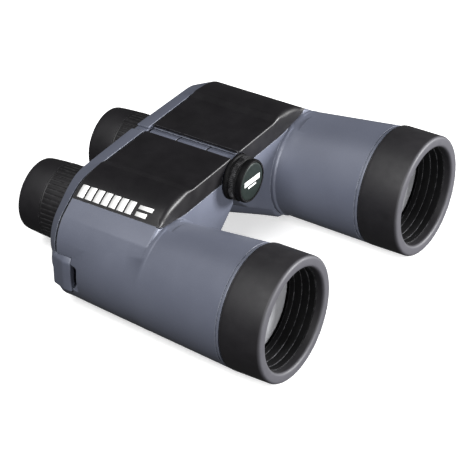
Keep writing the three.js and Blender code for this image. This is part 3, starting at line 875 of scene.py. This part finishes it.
def hinge_scale():
    """Plain ticks round the hinge's end cap, with a longer one at every fifth."""
    y0, y1 = COVER_BACK_Y + 0.32, COVER_BACK_Y + 0.5
    ticks = []
    for i in range(-10, 11):
        start = 7.6 if i % 5 == 0 else 8.1
        tick = block((-0.12, 0.12), (y0, y1), (start, 8.75))
        turn = Matrix.Translation((HINGE[0], 0, HINGE[1])) @ Matrix.Rotation(math.radians(6 * i), 4, "Y")
        bmesh.ops.transform(tick, matrix=turn, verts=tick.verts)
        ticks.append(tick)
    return add(*ticks)


def cover_screws():
    """Four slotted screw heads that hold the rear cover on."""
    heads = []
    for i, (x, z) in enumerate(SCREWS):
        head = turned([(0, -0.7), (1.5, -0.65, 0.1), (2.3, -0.25, 0.2), (2.4, 2), (0, 2)], steps=40,
                      rounding=3)
        groove = block((-3, 3), (-1, 0.3), (-0.35, 0.35))
        bmesh.ops.rotate(groove, verts=groove.verts, cent=(0, 0, 0),
                         matrix=Matrix.Rotation(math.radians(25 + 47 * i), 3, "Y"))
        head = carve(head, groove)
        bmesh.ops.translate(head, verts=head.verts, vec=(x, COVER_BACK_Y, z))
        heads.append(head)
    return add(*heads)


# ---------------------------------------------------------------- assembly

def build_half(side):
    left = side == "left"
    half, ocular = side + "_half", side + "_ocular"

    def make(bm, name, body, slot, *nodes, **extra):
        return finish_piece(bm, side + "_" + name, body, slot, [side + "_" + n for n in nodes], left, **extra)

    make(housing(side), "housing_shell", half, "grey_paint", "body_shell", bevel=0.25)
    for where, (back, front) in KNUCKLES[side].items():
        make(knuckle(back, front), "hinge_knuckle_" + where, half, "grey_paint")
    make(top_cover(side), "moulded_top_cover", half, "black_cover", "top_cover", bevel=0.3, wall=1.4,
         angle=50)
    if not left:
        print_piece = make(label(), "cover_print", half, "black_cover", wall=0.05)
        print_piece.data.materials[0] = PRINT
    make(rear_cover(side), "rear_end_cover", half, "grey_paint", "rear_cover", bevel=0.3)
    make(cover_screws(), "rear_cover_screws", half, "steel")
    make(objective_ring(), "objective_rubber_ring", half, "black_rubber", "objective_ring")
    make(objective_retainer(), "ridged_lens_retainer", half, "anodised_black", "objective_retainer")
    crown = make(lens(26.2, 65, 1.8, 68.5, 1.4, OBJECTIVE), "crown_lens", half, "optical_glass",
                 "objective_crown_lens")
    # The front lens gets the glass with the painted reflection.
    crown.data.materials[0] = FRONT_GLASS_PAINTED_REFLECTION
    make(lens(26.2, 58.6, 0.2, 64.7, -1.8, OBJECTIVE), "flint_lens", half, "optical_glass",
         "objective_flint_lens")
    make(focus_ring(), "ribbed_focus_ring", ocular, "black_grip", "focus_ring")
    make(eyecup(), "rubber_eyecup", ocular, "black_rubber", "eyecup")
    make(lens(12.3, -49.5, 1.2, -46, 1.6, EYEPIECE), "field_glass", ocular, "optical_glass", "field_lens")
    make(lens(12.3, -75.5, 1.6, -72, 1.2, EYEPIECE), "eye_glass", ocular, "optical_glass", "eye_lens")


def build_hinge():
    finish_piece(socket_cap(), "grooved_socket_cap", "cap", "black_cap", ["socket_cap"])
    finish_piece(socket_cap_disc(), "inlaid_cap_disc", "cap", "cap_disc", ["socket_cap_disc"])
    mark = finish_piece(cap_mark(), "cap_disc_print", "cap", "cap_disc")
    mark.data.materials[0] = PRINT
    finish_piece(hinge_rear_cap(), "hinge_end_cap", "right_half", "black_cap", ["hinge_rear_cap"])
    scale = finish_piece(hinge_scale(), "hinge_scale_ticks", "right_half", "black_cap")
    scale.data.materials[0] = PRINT


build_half("right")
build_half("left")
build_hinge()

KEPT = {
    "optical_glass": ["prism_rear", "prism_front"],
    "spring_steel": ["prism_clip_rear", "prism_clip_front"],
    "aluminium": ["prism_plate", "ocular_sleeve"],
    "anodised_black": ["objective_barrel", "ocular_barrel"],
    "seal_rubber": ["rear_gasket", "objective_seal", "ocular_seal"],
}
KEPT_ALONE = {
    "steel": ["hinge_axle", "hinge_washer_rear", "hinge_washer_front", "hinge_nut", "tripod_socket"],
    "seal_rubber": ["socket_cap_seal"],
}


def dress(node, slot):
    mesh = bpy.data.objects[node].data
    mesh.materials.clear()
    mesh.materials.append(FINISHES[slot])


for slot, names in KEPT.items():
    for side in SIDES:
        for name in names:
            dress(side + "_" + name, slot)
for slot, names in KEPT_ALONE.items():
    for name in names:
        dress(name, slot)


# ---------------------------------------------------------------- camera, floor and light

EYE = Vector((0.8087, 0.54465, 0.6529))
AIM = Vector((0.00192, 0.01437, 0.01962))
ROLL = math.radians(-0.91)


def camera():
    bpy.context.scene.view_settings.view_transform = "Standard"
    lens_data = bpy.data.cameras.new("camera")
    lens_data.lens = 173.6
    lens_data.sensor_width = 36
    obj = bpy.data.objects.new("camera", lens_data)
    bpy.context.scene.collection.objects.link(obj)
    back = (EYE - AIM).normalized()
    right = Vector((0, 0, 1)).cross(back).normalized()
    up = back.cross(right)
    across = right * math.cos(ROLL) + up * math.sin(ROLL)
    above = up * math.cos(ROLL) - right * math.sin(ROLL)
    turn = Matrix((across, above, back)).transposed().to_4x4()
    turn.translation = EYE
    obj.matrix_world = turn
    bpy.context.scene.camera = obj


def floor():
    bm = bmesh.new()
    bmesh.ops.create_grid(bm, x_segments=1, y_segments=1, size=3)
    mesh = bpy.data.meshes.new("floor")
    bm.to_mesh(mesh)
    bm.free()
    obj = bpy.data.objects.new("floor", mesh)
    bpy.context.scene.collection.objects.link(obj)
    material, tree, surface, place = blank_material("floor_paper")
    tone = ramp(tree, noise(tree, place, 400), [(0.3, (0.83, 0.83, 0.83)), (0.7, (0.86, 0.86, 0.86))])
    tree.links.new(tone, surface.inputs["Base Color"])
    surface.inputs["Roughness"].default_value = 0.8
    surface.inputs["Emission Color"].default_value = (1, 1, 1, 1)
    surface.inputs["Emission Strength"].default_value = 0.5
    mesh.materials.append(material)
    obj.visible_diffuse = False
    obj.visible_glossy = False


def softbox(name, place, aim, size, power):
    data = bpy.data.lights.new(name, "AREA")
    data.shape = "RECTANGLE"
    data.size, data.size_y = size
    data.energy = power
    obj = bpy.data.objects.new(name, data)
    bpy.context.scene.collection.objects.link(obj)
    obj.location = place
    obj.rotation_euler = (Vector(aim) - Vector(place)).to_track_quat("-Z", "Y").to_euler()


def studio():
    world = bpy.data.worlds.new("studio")
    bpy.context.scene.world = world
    world.use_nodes = True
    backdrop = world.node_tree.nodes["Background"]
    backdrop.inputs["Color"].default_value = (1, 1, 1, 1)
    backdrop.inputs["Strength"].default_value = 0.08
    softbox("key", (0.85, 0.1, 0.95), (0, 0, 0.03), (0.5, 0.5), 14.5)
    softbox("front", (-0.7, 0.95, 0.33), (0, 0.05, 0.03), (0.4, 0.3), 36)
    softbox("front fill", (0.4, 1.2, 0.3), (0, 0.05, 0.03), (0.4, 0.3), 14)
    softbox("overhead", (0.25, -0.3, 1.15), (0, 0, 0.03), (0.45, 0.45), 4)


camera()
floor()
studio()
